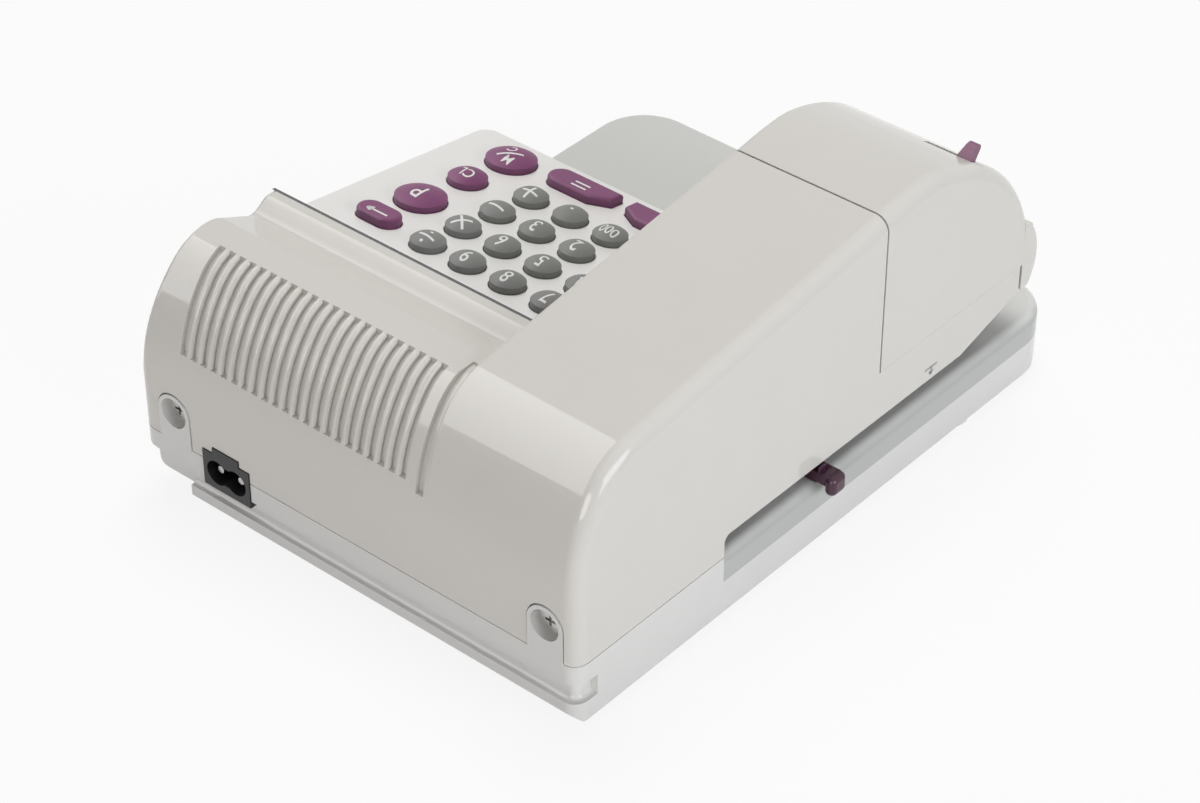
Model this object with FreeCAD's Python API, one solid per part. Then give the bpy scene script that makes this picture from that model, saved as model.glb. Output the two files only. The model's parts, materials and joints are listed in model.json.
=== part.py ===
import FreeCAD, Part
import math
import os

# Electronic cheque writer: a keypad and a print arm over a cheque table.
# Sizes are millimetres. The user sits on the -Y side and +Z is up.
# The origin is the middle of the footprint, at desk level.
# Pieces are placed by three distances: across from the open side of the arm (along +X),
# back from the rear face towards the user (along -Y) and up from the cheque table (along +Z).

Vector = FreeCAD.Vector

# Overall sizes
body_width = 177.0
body_depth = 237.0
base_height = 21.2
foot_height = 2.3
wall = 2.5
arm_width = 57.0
throat_height = 7.5
throat_rear = 65.3
throat_corner = 2.6
side_lean = 0.15

# Side view of the arm
rear_flat = 26.0
arm_bend_radius = 56.0
arm_bend_angle = 59.0
arm_crown_radius = 24.0
arm_slope = 7.1
arm_round = 5.0
arm_inner_round = 1.5
seam_back = 138.0
seam_gap = 0.7
strip_top = 25.0
inner_strip_top = 37.0
inner_strip_short = 15.0
flare_length = 30.0
flare_rise = 8.1

# Side view of the hump, the display ridge and the keypad
hump_bend_radius = 50.0
hump_bend_angle = 50.0
crest_rear_radius = 18.2
crest_front_radius = 10.0
hump_fall = 26.0
valley_reach = 12.3
valley_radius = 4.0
ridge_rise = 42.0
ridge_radius = 3.6
ridge_climb = 2.1
ridge_lip = 2.1
hump_round = 3.0
display_slope = 46.0
lens_length = 20.9
lens_thickness = 0.8
lens_top_drop = 0.25
panel_rear_gap = 0.3
keypad_slope = 9.45
keypad_reach = 85.4
panel_thickness = 2.2
panel_ledge = 4.5
panel_corner = 5.0

# Vent grooves
vent_count = 22
vent_margins = (8.5, 22.9)
vent_width = 2.6
vent_depth = 1.8
arm_groove = (0.2, 3.3)
arm_groove_back = 26.0
arm_groove_bottom = 32.0
vent_bottom = 34.5
vent_top_back = 20.0

# Print cover
cover_wall = 2.2
cover_angles = (9.8, 3.0, -12.0, -38.0, -73.0)
cover_radii = (155.0, 35.0, 73.4, 57.7)
nose_step_reach = 5.6
nose_tip_reach = 9.4
nose_bottom_reach = 6.0
nose_ups = (38.0, 26.0, 15.6)
nose_depth = 1.2
cover_end_reach = 4.7
cover_rest_gap = 0.05
nose_round = 1.1

# Table and base tray
table_thickness = 2.5
table_tongue = 6.0
skirt_drop = 9.5
skirt_wall = 2.2
base_floor = 2.5
base_wall = 3.0
front_corner = 18.5
rear_corner = 8.0
rear_chamfer = 3.2
waist_in = 5.5
waist_round = 6.0
plinth_height = 6.0
plinth_in = 22.0
groove_top = 7.0
groove_height = 7.2
groove_depth = 2.4
groove_cove = 1.8
groove_return = 9.0
parting_height = 0.35
parting_depth = 0.4
ear_margins = (11.5, 17.2)
ear_width = 13.0
ear_thickness = 6.0
ear_proud = 0.35
ear_gap = 0.4
ear_screw_up = 10.8
ear_pad = 3.0
ear_boss_depth = 9.0
table_edge_round = 0.8
table_edge_band = 2.0
foot_radius = 6.5
foot_pocket = 1.2
foot_edges = (10.0, 7.6)
foot_backs = (28.0, 188.0)

# Keys
key_share = 0.356
large_key_radius = 8.4
middle_key_radius = 6.45
key_side_height = 2.0
key_dome = 2.4
key_gap = 0.35
key_flange = 0.8
key_flange_height = 1.0
key_flange_gap = 0.2
key_travel = 1.6
first_column_margin = 22.1
function_gap = 21.45
function_margin = 27.7
first_row = 10.3
function_row_margins = (11.4, 12.5)
function_shares = (0.0, 0.306, 0.66, 1.0)
back_key_length = 16.0
back_key_width = 9.0
long_key_share = 1.6
long_key_gap = 5.4
long_key_width = 9.6
long_key_bevel = (7.0, 4.0)
long_key_margin = 10.0
long_key_row_gap = 17.4
long_key_shift = 2.5
key_edge_round = 1.2
mat_thickness = 1.0
mat_gap = 0.3
board_thickness = 1.6
board_row_margins = (1.5, 4.0)
board_margin = 1.0
panel_boss_radius = 2.6
panel_boss_margins = (9.0, 11.9)
panel_boss_rows = (13.8, 19.3)
panel_boss_row_margins = (15.5, 20.5)
board_screw_radius = 1.1
board_screw_head = (2.2, 1.4)
board_screw_reach = 2.0

# Print works
print_gap = 2.5
wheel_width = 12.0
wheel_clearances = (1.5, 2.2)
wheel_side_gap = 5.2
type_count = 16
type_height = 1.2
type_width = 5.0
type_margin = 1.5
wheel_hub_radius = 7.0
wheel_web = 4.0
wheel_rim = 3.0
shaft_radius = 2.0
gear_module = 0.8
wheel_teeth = 40
print_pinion_teeth = 16
gear_width = 4.0
gear_clearance = 1.5
ink_radius = 8.0
ink_gap = 0.3
ink_lean = 25.0
ink_shaft_radius = 1.5
frame_sheet = 2.0
frame_setback = 12.0
frame_front_gap = 16.8
frame_side_gap = 5.0
frame_tie_up = (14.0, 20.0)
frame_tab_half_width = 5.0
frame_tab_drop = 3.5
print_motor_radius = 12.0
print_motor_length = 36.0
motor_shaft_radius = 1.0
motor_shaft_bore = 6.0
motor_flat = 2.0
pinch_radius = 11.0
pinch_width = 12.0
pinch_clearances = (2.8, 2.2)
pinch_shaft_radius = 1.5
paper_gap = 0.8
window_gap = 1.0
pinch_window_half = 12.5

# Cheque feed
feed_floor_gap = 1.5
feed_proud = 0.4
feed_shaft_radius = 1.5
feed_run = 44.0
feed_shaft_ends = (2.0, 0.5)
feed_gear_top_gap = 0.5
feed_teeth = 16
feed_pinion_teeth = 12
feed_gear_width = 4.0
feed_gear_gap = 7.0
bearing_width = 4.0
bearing_gap = 2.5
bearing_half_width = 4.0
feed_motor_gap = 4.0
feed_motor_length = 30.0
feed_motor_width = 15.5
feed_motor_top_gap = 0.3
feed_cradle_inset = 5.0
bearing_cap = 3.0
platen_half_width = 10.0
platen_thickness = 3.0
platen_rim = 4.0

# Levers
guide_reach = 6.9
guide_back = 111.6
guide_bar_margins = (0.8, 5.5)
guide_bar_width = 4.0
guide_bar_up = (0.3, 6.4)
guide_stem_width = 5.5
guide_stem_up = (1.4, 5.0)
guide_head_length = 4.0
guide_head_width = 7.0
guide_head_up = (-1.6, 5.2)
guide_head_round = 1.9
guide_runner_across = 14.0
guide_runner_width = 3.0
guide_foot_width = 8.0
guide_foot_height = 1.2
guide_forward = 20.0
guide_rearward = 43.0
release_across = 7.5
release_reach = 20.9
release_tilt = 5.0
release_width = 5.0
release_taper = 2.1
release_thickness = 3.1
release_height = 5.6
release_foot_gap = 0.8
release_tip_round = 1.3
release_travel = 12.0
release_foot_height = 1.4
release_foot_width = 7.0
release_foot_margin = 1.6

# Mains inlet
inlet_margin = 38.6
inlet_width = 19.6
inlet_up = (-9.5, 3.6)
inlet_tab_width = 11.0
inlet_tab_up = 5.9
inlet_proud = 0.4
inlet_depth = 18.0
socket_depth = 13.0
socket_lobe_radius = 4.3
socket_lobe_offset = 3.9
socket_waist = 6.6
socket_up = -3.0
pin_radius = 1.2
pin_offset = 4.3
pin_length = 11.0

# Screws
screw_head_radius = 2.9
screw_head_height = 1.9
screw_shank_radius = 1.5
screw_length = 10.0
screw_recess_radius = 5.2
screw_recess_depth = 4.2
screw_hole_gap = 0.2
driver_slot = 0.9
driver_reach = 1.9
driver_depth = 1.2

# Inner boards and transformer
main_board_margin = 7.5
main_board_back_margins = (15.0, 7.3)
main_board_up = -13.5
post_radius = 3.0
post_inset = 5.0
chip_size = (12.0, 9.0, 2.0)
capacitor_radius = 4.0
capacitor_height = 11.0
socket_size = (22.0, 5.0, 8.0)
core_width = 44.0
core_side_gap = 2.0
core_board_gap = 8.0
core_inlet_gap = 4.0
core_front_gap = 1.3
core_height = 36.0
coil_in = 7.5
coil_bulge = 8.0
coil_up = 6.0
lcd_margin = 12.0
lcd_depth = 4.5
lcd_end_margins = (4.0, 1.4)
window_end_margins = (5.5, 3.4)
window_margin = 15.0

# Fits
slide_gap = 0.3
case_gap = 0.15
shaft_gap = 0.05
mesh_gap = 0.1
tooth_share = 0.43
tooth_angle = 20.0
root_depth = 1.25
over = 1.0
touch = 0.01

left_x = (guide_reach - body_width) / 2
rear_y = (body_depth - inlet_proud) / 2
table_z = foot_height + base_height
base_bottom = -base_height
floor_up = base_bottom + base_floor
side_out = Vector(1, 0, 0)
forward = Vector(0, -1, 0)
upward = Vector(0, 0, 1)


def at(across, back, up):
    return Vector(left_x + across, rear_y - back, table_z + up)


def block(across, back, up):
    size = (across[1] - across[0], back[1] - back[0], up[1] - up[0])
    return Part.makeBox(*size, at(across[0], back[1], up[0]))


def rod(across, up, back, radius):
    return Part.makeCylinder(radius, back[1] - back[0], at(across, back[0], up), forward)


def outline(path, place):
    # A step of the path is an end point, or the point an arc passes through and its end.
    edges = []
    first = here = place(*path[0])
    for step in path[1:]:
        if isinstance(step[0], tuple):
            end = place(*step[1])
            edges.append(Part.Arc(here, place(*step[0]), end).toShape())
        else:
            end = place(*step)
            edges.append(Part.makeLine(here, end))
        here = end
    if not here.isEqual(first, touch):
        edges.append(Part.makeLine(here, first))
    return Part.Wire(edges)


def side_prism(path, across, inset=0.0):
    edge = outline(path, lambda back, up: at(across[0], back, up))
    if inset:
        edge = edge.makeOffset2D(-inset)
    return Part.Face(edge).extrude(side_out * (across[1] - across[0]))


def front_prism(path, back):
    edge = outline(path, lambda across, up: at(across, back[0], up))
    return Part.Face(edge).extrude(forward * (back[1] - back[0]))


def plan_prism(path, up):
    edge = outline(path, lambda across, back: at(across, back, up[0]))
    return Part.Face(edge).extrude(upward * (up[1] - up[0]))


def turn(start, angle_in, angle_out, radius):
    # An arc in side view that carries on from start, from one rise angle to another.
    sense = 1 if angle_in > angle_out else -1

    def point(angle):
        first, last = math.radians(angle_in), math.radians(angle)
        back = start[0] + sense * radius * (math.sin(first) - math.sin(last))
        up = start[1] + sense * radius * (math.cos(last) - math.cos(first))
        return back, up

    return point((angle_in + angle_out) / 2), point(angle_out)


def eased(before, corner, after, radius):
    # A corner of a path, rounded.
    here = Vector(*corner)
    ways = [(Vector(*end) - here).normalize() for end in (before, after)]
    half = ways[0].getAngle(ways[1]) / 2
    reach = radius / math.tan(half)
    middle = here + (ways[0] + ways[1]).normalize() * (radius / math.sin(half) - radius)
    start, end = [here + way * reach for way in ways]
    return [(start.x, start.y), ((middle.x, middle.y), (end.x, end.y))]


def slope(angle):
    return math.tan(math.radians(angle))


def edges_where(shape, test):
    return [edge for edge in shape.Edges if all(test(vertex.Point) for vertex in edge.Vertexes)]


def joined(*shapes):
    return shapes[0].multiFuse(shapes[1:]).removeSplitter()


# Side view of the arm, from the parting line up the rear and along the top
arm_bend = turn((0.0, rear_flat), 90.0, arm_bend_angle, arm_bend_radius)
arm_crown = turn(arm_bend[1], arm_bend_angle, arm_slope, arm_crown_radius)


def arm_top(back):
    return arm_crown[1][1] + slope(arm_slope) * (back - arm_crown[1][0])


# The print works stand in a row from the seam to the front of the strip
rear_plate_back = seam_back + frame_setback
gear_start = rear_plate_back + frame_sheet + gear_clearance
gear_backs = (gear_start, gear_start + gear_width)
wheel_start = gear_backs[1] + wheel_clearances[0]
wheel_back = (wheel_start, wheel_start + wheel_width)
middle_plate_back = wheel_back[1] + wheel_clearances[1]
pinch_start = middle_plate_back + frame_sheet + pinch_clearances[0]
pinch_backs = (pinch_start, pinch_start + pinch_width)
front_plate_back = pinch_backs[1] + pinch_clearances[1]
strip_front = front_plate_back + frame_sheet + frame_front_gap

# So does the cheque feed, which reaches rearwards from the pinch roller
rear_bearing = (pinch_backs[0] - feed_run - bearing_width, pinch_backs[0] - feed_run)
front_bearing = (pinch_backs[1] + bearing_gap, pinch_backs[1] + bearing_gap + bearing_width)
feed_gear_end = rear_bearing[0] - feed_gear_gap
feed_gear_backs = (feed_gear_end - feed_gear_width, feed_gear_end)
feed_shaft_backs = (feed_gear_backs[0] - feed_shaft_ends[0], front_bearing[1] + feed_shaft_ends[1])
feed_motor_back = feed_gear_backs[0] - feed_motor_gap - feed_motor_length

flare_front_up = throat_height + flare_rise
flare_back = strip_front - flare_length
inner_strip_front = strip_front - inner_strip_short
throat_turn = turn((throat_rear + throat_corner, throat_height), 180.0, 270.0, throat_corner)
arm_path = [
    (0.0, 0.0), (0.0, rear_flat), arm_bend, arm_crown, (seam_back, arm_top(seam_back)),
    (seam_back, strip_top), (strip_front, strip_top), (strip_front, flare_front_up),
    (flare_back, throat_height), (throat_rear + throat_corner, throat_height), throat_turn,
    (throat_rear, 0.0),
]

# Side view of the hump, the ridge behind the display and the keypad
hump_bend = turn((0.0, rear_flat), 90.0, hump_bend_angle, hump_bend_radius)
hump_rise = turn(hump_bend[1], hump_bend_angle, 0.0, crest_rear_radius)
hump_brow = turn(hump_rise[1], 0.0, -hump_fall, crest_front_radius)
valley_in = (hump_brow[1][0] + valley_reach, hump_brow[1][1] - slope(hump_fall) * valley_reach)
valley = turn(valley_in, -hump_fall, ridge_rise, valley_radius)
ridge_in = (valley[1][0] + ridge_climb, valley[1][1] + slope(ridge_rise) * ridge_climb)
ridge = turn(ridge_in, ridge_rise, 0.0, ridge_radius)
ridge_edge = (ridge[1][0] + ridge_lip, ridge[1][1])
display_run = math.cos(math.radians(display_slope))
display_drop = math.sin(math.radians(display_slope))


def on_display(along, out):
    # A point in side view: along the display face from the ridge, and out from it.
    back = ridge_edge[0] + along * display_run + out * display_drop
    return back, ridge_edge[1] - along * display_drop + out * display_run


lcd_ends = (lcd_end_margins[0], lens_length - lcd_end_margins[1])
window_ends = (window_end_margins[0], lens_length - window_end_margins[1])
lens_foot = on_display(lens_length, 0.0)
lens_toe = on_display(lens_length, lens_thickness)
keypad_rear = lens_toe[0] + panel_rear_gap
keypad_front = keypad_rear + keypad_reach
keypad_drop = panel_thickness / math.cos(math.radians(keypad_slope))


def keypad_up(back):
    return lens_toe[1] - slope(keypad_slope) * (back - keypad_rear)


def under_panel(back):
    return back, keypad_up(back) - keypad_drop


hump_path = [
    (0.0, 0.0), (0.0, rear_flat), hump_bend, hump_rise, hump_brow, valley_in, valley, ridge_in,
    ridge, ridge_edge, lens_foot, under_panel(lens_foot[0]), under_panel(keypad_front),
    (keypad_front, throat_height), (throat_rear, throat_height), (throat_rear, 0.0),
]


def leaning_side(inset, start, back):
    # Everything inside the leaning wall on the keypad's side, as a prism along the depth.
    high = arm_top(seam_back)
    edge = body_width - inset
    path = [(start, -over), (edge, -over), (edge, 0.0), (edge - side_lean * high, high), (start, high)]
    return front_prism(path, back)


def lean_at(up):
    return body_width - side_lean * up


def on_lean(point):
    return abs(point.x - left_x - lean_at(point.z - table_z)) < touch


whole_depth = (0.0, body_depth)
plinth_top = base_bottom + plinth_height
tray_wall = groove_depth + base_wall
roof_up = throat_height + frame_sheet
housing_side = body_width - wall - side_lean * throat_height
display_edge = lean_at(ridge_edge[1])
opening_edge = lean_at(keypad_up(keypad_rear)) - wall - panel_ledge

grid_names = (("7", "8", "9", "divide"), ("4", "5", "6", "multiply"), ("1", "2", "3", "minus"),
              ("0", "triple_zero", "point", "plus"))

# Places that follow the sizes of the body, the arm and the keypad
ear_positions = (ear_margins[0], body_width - ear_margins[1])
inlet_across = body_width - inlet_margin
vent_first = arm_width + vent_margins[0]
vent_pitch = (body_width - vent_margins[1] - vent_first) / (vent_count - 1)
first_column = arm_width + first_column_margin
function_column = body_width - function_margin
column_pitch = (function_column - function_gap - first_column) / (len(grid_names[0]) - 1)
long_key_row = keypad_reach - long_key_margin
row_pitch = (long_key_row - long_key_row_gap - first_row) / (len(grid_names) - 1)
key_radius = key_share * min(column_pitch, row_pitch)
function_run = keypad_reach - sum(function_row_margins)
function_rows = [function_row_margins[0] + share * function_run for share in function_shares]
long_key_length = long_key_share * column_pitch
long_key_middle = (first_column + function_column - function_gap) / 2 + long_key_shift
panel_boss_columns = (arm_width + panel_boss_margins[0], function_column - panel_boss_margins[1])
panel_bosses = [(across, row) for across, near, margin in zip(
    panel_boss_columns, panel_boss_rows, panel_boss_row_margins) for row in (near, keypad_reach - margin)]
board_rows = (board_row_margins[0], keypad_reach - board_row_margins[1])
core_right = body_width - plinth_in - base_wall - core_side_gap
core_across = (core_right - core_width, core_right)
core_back = (inlet_depth + core_inlet_gap + coil_bulge,
             throat_rear - table_tongue - core_front_gap - coil_bulge)
main_board_back = (main_board_back_margins[0], throat_rear - main_board_back_margins[1])
main_board_across = (arm_width - main_board_margin, core_across[0] - core_board_gap)
guide_bar = (guide_bar_margins[0], arm_width - guide_bar_margins[1])

# Centres of the rollers and gears
wheel_across = arm_width / 2
wheel_radius = wheel_across - wall - wheel_side_gap
wheel_outer = wheel_radius + type_height
wheel_up = wheel_outer + print_gap
wheel_corner = math.hypot(wheel_outer, type_width / 2)
wheel_window_drop = wheel_up - roof_up - frame_sheet
wheel_window_half = math.sqrt(wheel_corner ** 2 - wheel_window_drop ** 2) + window_gap
frame_half_width = wheel_across - wall - frame_side_gap
print_centres = gear_module * (wheel_teeth + print_pinion_teeth) / 2 + mesh_gap
print_motor_up = wheel_up + print_centres
frame_top = print_motor_up + print_motor_radius
ink_centres = wheel_outer + ink_gap + ink_radius
ink_across = wheel_across - ink_centres * math.sin(math.radians(ink_lean))
ink_up = wheel_up + ink_centres * math.cos(math.radians(ink_lean))
feed_radius = (feed_proud - floor_up - feed_floor_gap) / 2
feed_up = feed_proud - feed_radius
feed_headroom = -table_thickness - feed_up
feed_module = (feed_headroom - feed_gear_top_gap) / (feed_teeth / 2 + 1)
feed_motor_height = 2 * (feed_headroom - feed_motor_top_gap)
feed_pinion_across = wheel_across + feed_module * (feed_teeth + feed_pinion_teeth) / 2 + mesh_gap
pinch_up = feed_proud + paper_gap + pinch_radius


def about(middle, half):
    return middle - half, middle + half


def grown(pair, amount):
    return pair[0] - amount, pair[1] + amount


def ear(across, grow, back):
    # A tongue with a round top, through which a case screw passes.
    half = ear_width / 2 + grow
    tongue = block(about(across, half), back, (-over, ear_screw_up))
    return tongue.fuse(rod(across, ear_screw_up, back, half))


def inlet_body(grow, back):
    main = block(about(inlet_across, inlet_width / 2 + grow), back, grown(inlet_up, grow))
    tab_up = (inlet_up[0], inlet_tab_up + grow)
    return main.fuse(block(about(inlet_across, inlet_tab_width / 2 + grow), back, tab_up))


def display_prism(ends, out, across):
    path = [on_display(ends[0], out[0]), on_display(ends[1], out[0]),
            on_display(ends[1], out[1]), on_display(ends[0], out[1])]
    return side_prism(path, across)


def arm_shell():
    def rounded(shape, across, radius):
        def on_side(point):
            return abs(point.x - left_x - across) < touch and rear_y - point.y < seam_back + touch

        edges = [e for e in edges_where(shape, on_side)
                 if e.BoundBox.ZMax > table_z + rear_flat - touch and e.BoundBox.YLength > touch]
        return shape.makeFillet(radius, edges)

    arm = side_prism(arm_path, (0.0, arm_width))
    return rounded(rounded(arm, 0.0, arm_round), arm_width, arm_inner_round)


def plan_column(inset):
    # Everything over the base, whose rear corners the case carries on upwards.
    return plan_prism(base_plan(inset), (-over, ridge_edge[1] + wall))


def hump_shell():
    start = arm_width - wall
    hump = side_prism(hump_path, (start, body_width)).common(leaning_side(0.0, start, whole_depth))
    side = [e for e in edges_where(hump, on_lean) if e.BoundBox.ZMax > table_z + rear_flat - touch]
    rear = [e for e in side if e.BoundBox.YMin > rear_y - ridge_edge[0] - touch]
    front = [e for e in side if e.BoundBox.YMax < rear_y - keypad_front + touch]
    return hump.makeFillet(hump_round, rear).makeFillet(panel_corner, front).common(plan_column(0.0))


def vent_grooves():
    across = (arm_width - wall, body_width)
    skin = side_prism(hump_path, across).cut(side_prism(hump_path, across, vent_depth))
    reach = (-over, vent_top_back)
    rise = (vent_bottom, ridge_edge[1] + wall)
    slots = [block(about(vent_first + index * vent_pitch, vent_width / 2), reach, rise)
             for index in range(vent_count)]
    beside_arm = (arm_width + arm_groove[0], arm_width + arm_groove[1])
    slots.append(block(beside_arm, (-over, arm_groove_back), (arm_groove_bottom, rise[1])))
    return skin.common(Part.makeCompound(slots))


def upper_housing():
    start = arm_width - wall
    inner = (wall, start)
    wide = (wall, housing_side)
    bosses = []
    bores = [inlet_body(case_gap, (-over, inlet_depth))]
    boss_back = (wall - touch, ear_thickness + ear_boss_depth)
    for across in ear_positions:
        half = ear_width / 2 + ear_pad
        bosses.append(block(about(across, half), boss_back, (0.0, ear_screw_up + half)))
        bores.append(ear(across, ear_gap, (-over, ear_thickness + case_gap)))
        bores.append(rod(across, ear_screw_up, (0.0, boss_back[1] + over), screw_shank_radius + shaft_gap))
    hump_hollow = side_prism(hump_path, (start, body_width), wall)
    panel_back = (keypad_rear + panel_rear_gap, keypad_front - wall - panel_rear_gap)
    panel_up = (throat_height + 2 * wall, keypad_up(keypad_rear) + over)
    window_across = (arm_width + window_margin, display_edge - window_margin)
    seam_reach = seam_back - 2 * wall
    hollows = [
        side_prism(arm_path, inner, wall),
        hump_hollow.common(leaning_side(wall, start, whole_depth)).common(plan_column(wall)),
        block((arm_width + panel_ledge, opening_edge), panel_back, panel_up),
        display_prism(window_ends, (over, -2 * wall), window_across),
        vent_grooves(),
        block(inner, (seam_reach, seam_back + over), (strip_top - 2 * wall, arm_top(seam_back) - 2 * wall)),
        block(inner, (seam_reach, strip_front + over), (throat_height - over, strip_top + over)),
        block(wide, (wall, throat_rear + over), (-over, throat_height + wall)),
        block(wide, (throat_rear - over, keypad_front - wall), (throat_height - over, panel_up[0])),
    ]
    shell = joined(arm_shell(), hump_shell()).cut(hollows)
    strip_up = (throat_height + wall, inner_strip_top)
    inner_strip = block((start, arm_width), (seam_back, inner_strip_front), strip_up)
    return joined(shell, inner_strip, *bosses).cut(bores)


def throat_plate():
    rise = flare_rise
    rear = throat_rear - frame_sheet
    right = housing_side - case_gap
    front = keypad_front - wall - case_gap
    arm_roof = side_prism(
        [(rear, 0.0), (rear, roof_up), (flare_back, roof_up), (strip_front, roof_up + rise),
         (strip_front, throat_height + rise), (flare_back, throat_height), (throat_rear, throat_height),
         (throat_rear, 0.0)], (wall + case_gap, arm_width - wall - case_gap))
    key_roof = side_prism(
        [(rear, 0.0), (rear, roof_up), (front, roof_up), (front, throat_height), (throat_rear, throat_height),
         (throat_rear, 0.0)], (arm_width - 2 * wall, right))
    return joined(arm_roof, key_roof).cut(throat_windows())


def throat_windows():
    # Where the print wheel and the pinch roller come through the roof of the throat.
    tall = (throat_height - over, frame_tie_up[0])
    wheel_reach = (rear_plate_back + frame_sheet, middle_plate_back)
    pinch_reach = (middle_plate_back + frame_sheet, front_plate_back + frame_sheet + window_gap)
    return [block(about(wheel_across, wheel_window_half), wheel_reach, tall),
            block(about(wheel_across, pinch_window_half), pinch_reach, tall)]


# Plan of the base, and the base as one solid
def base_plan(inset):
    corner_share = 1.0 - math.sqrt(0.5)
    right = body_width - inset
    front = body_depth - inset
    rear_turn = rear_corner - inset
    arm_turn = arm_round - inset
    front_turn = front_corner - inset
    arm_bow = inset + arm_turn * corner_share
    rear_bow = inset + rear_turn * corner_share
    right_bow = right - rear_turn * corner_share
    front_bow = front - front_turn * corner_share
    return [
        (inset + arm_turn, inset), (right - rear_turn, inset),
        ((right_bow, rear_bow), (right, inset + rear_turn)), (right, front - front_turn),
        ((right - front_turn * corner_share, front_bow), (right - front_turn, front)),
        (inset + front_turn, front),
        ((inset + front_turn * corner_share, front_bow), (inset, front - front_turn)),
        (inset, inset + arm_turn), ((arm_bow, arm_bow), (inset + arm_turn, inset)),
    ]


def base_solid(inset, up):
    waist = body_width - waist_in - inset
    plinth = body_width - plinth_in - inset
    right = body_width - inset
    band_foot = (right, -table_edge_band)
    under_side = (plinth, plinth_top)
    section = [(inset, 0.0), (right, 0.0), band_foot] + eased(
        band_foot, (waist, plinth_top), under_side, waist_round) + [
        under_side, (plinth, base_bottom), (inset, base_bottom)]
    return plan_prism(base_plan(inset), up).common(front_prism(section, whole_depth))


def foot_places():
    return [(across, back) for edge, back in zip(foot_edges, foot_backs)
            for across in (edge, body_width - plinth_in - edge)]


def foot_rod(across, back, up, radius):
    return Part.makeCylinder(radius, up[1] - up[0], at(across, back, up[0]))


def board_posts():
    return [(across, back) for across in grown(main_board_across, -post_inset)
            for back in grown(main_board_back, -post_inset)]


def rear_groove():
    across = (-over, body_width + over)
    back = (-over, groove_return)
    up = (-groove_top - groove_height, -groove_top)
    groove = block(across, back, up).cut(plan_prism(base_plan(groove_depth), up))

    def on_foot(edge):
        middle = edge.valueAt((edge.FirstParameter + edge.LastParameter) / 2)
        inside = across[0] < middle.x - left_x - touch and middle.x - left_x + touch < across[1]
        ahead = back[0] < rear_y - middle.y - touch and rear_y - middle.y + touch < back[1]
        return inside and ahead and abs(middle.z - table_z - up[0]) < touch

    # Beyond the plinth the groove has no lip and runs out under the tray.
    low = (plinth_top - over, up[1])
    run_out = block((body_width - plinth_in, across[1]), back, low).cut(
        plan_prism(base_plan(groove_depth), low))
    return joined(groove.makeFillet(groove_cove, [e for e in groove.Edges if on_foot(e)]), run_out)


def base_tray():
    full = (-over, body_width + over)
    inner_plan = plan_prism(base_plan(base_wall), (floor_up, over))
    depth = (tray_wall, body_depth - base_wall)
    low = block((tray_wall, body_width - plinth_in - base_wall), depth, (floor_up, over))
    high = block((tray_wall, body_width - waist_in - base_wall), depth, (plinth_top + base_floor, over))
    parting_up = (-parting_height, over)
    parting = block(full, (-over, throat_rear), parting_up).cut(
        plan_prism(base_plan(parting_depth), parting_up))
    bevel = [(-over, base_bottom - over), (rear_chamfer + over, base_bottom - over),
             (-over, base_bottom + rear_chamfer + over)]
    tray = base_solid(0.0, (base_bottom, 0.0)).cut([
        inner_plan.common(joined(low, high)), rear_groove(), parting, side_prism(bevel, full),
        block(full, (throat_rear, body_depth + over), (-skirt_drop, over)),
    ])
    ears = [ear(across, 0.0, (-ear_proud, ear_thickness)) for across in ear_positions]
    posts = [foot_rod(across, back, (floor_up, main_board_up), post_radius) for across, back in board_posts()]
    motor_back = (feed_motor_back, feed_motor_back + feed_motor_length)
    cradle = block(about(feed_pinion_across, feed_motor_width / 2), grown(motor_back, -feed_cradle_inset),
                   (floor_up, feed_up - feed_motor_height / 2))
    holes = [inlet_body(case_gap, (-over, inlet_depth))]
    for across in ear_positions:
        holes.append(rod(across, ear_screw_up, (-over, screw_recess_depth), screw_recess_radius))
        shank_hole = screw_shank_radius + screw_hole_gap
        holes.append(rod(across, ear_screw_up, (0.0, ear_thickness + over), shank_hole))
    for across, back in foot_places():
        pocket = (base_bottom - over, base_bottom + foot_pocket)
        holes.append(foot_rod(across, back, pocket, foot_radius + case_gap))
    return joined(tray, cradle, *ears, *posts).cut(holes)


def rubber_feet():
    up = (base_bottom - foot_height, base_bottom + foot_pocket)
    return [foot_rod(across, back, up, foot_radius) for across, back in foot_places()]


def table_plate():
    outer = base_solid(0.0, (-skirt_drop, 0.0)).common(
        block((0.0, body_width), (throat_rear, body_depth), (-skirt_drop, 0.0)))
    rim = [e for e in edges_where(outer, lambda point: abs(point.z - table_z) < touch)
           if e.BoundBox.YMin < rear_y - throat_rear - touch]
    outer = outer.makeFillet(table_edge_round, rim)
    under = base_solid(skirt_wall, (-skirt_drop - over, -table_thickness))
    tongue = block((tray_wall + case_gap, body_width - waist_in - base_wall - case_gap),
                   (throat_rear - table_tongue, throat_rear + skirt_wall), (-table_thickness, 0.0))
    pad_floor = -platen_thickness - table_thickness
    pad_boss = block(about(wheel_across, platen_half_width + platen_rim), grown(wheel_back, platen_rim / 2),
                     (pad_floor, -table_thickness + touch))
    drop = feed_up + table_thickness
    roller_half = math.sqrt(feed_radius ** 2 - drop ** 2) + window_gap
    slot_back = (guide_back - guide_rearward, guide_back + guide_forward)
    through = (-table_thickness - over, over)
    return joined(outer.cut(under), tongue, pad_boss).cut([
        block(about(wheel_across, platen_half_width + case_gap), grown(wheel_back, case_gap),
              (-platen_thickness, over)),
        block(about(wheel_across, roller_half), grown(pinch_backs, window_gap), through),
        block(about(guide_runner_across, guide_runner_width / 2 + slide_gap),
              grown(slot_back, guide_bar_width / 2 + slide_gap), through),
    ])


def platen_pad():
    return block(about(wheel_across, platen_half_width), wheel_back, (-platen_thickness, 0.0))


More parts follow.
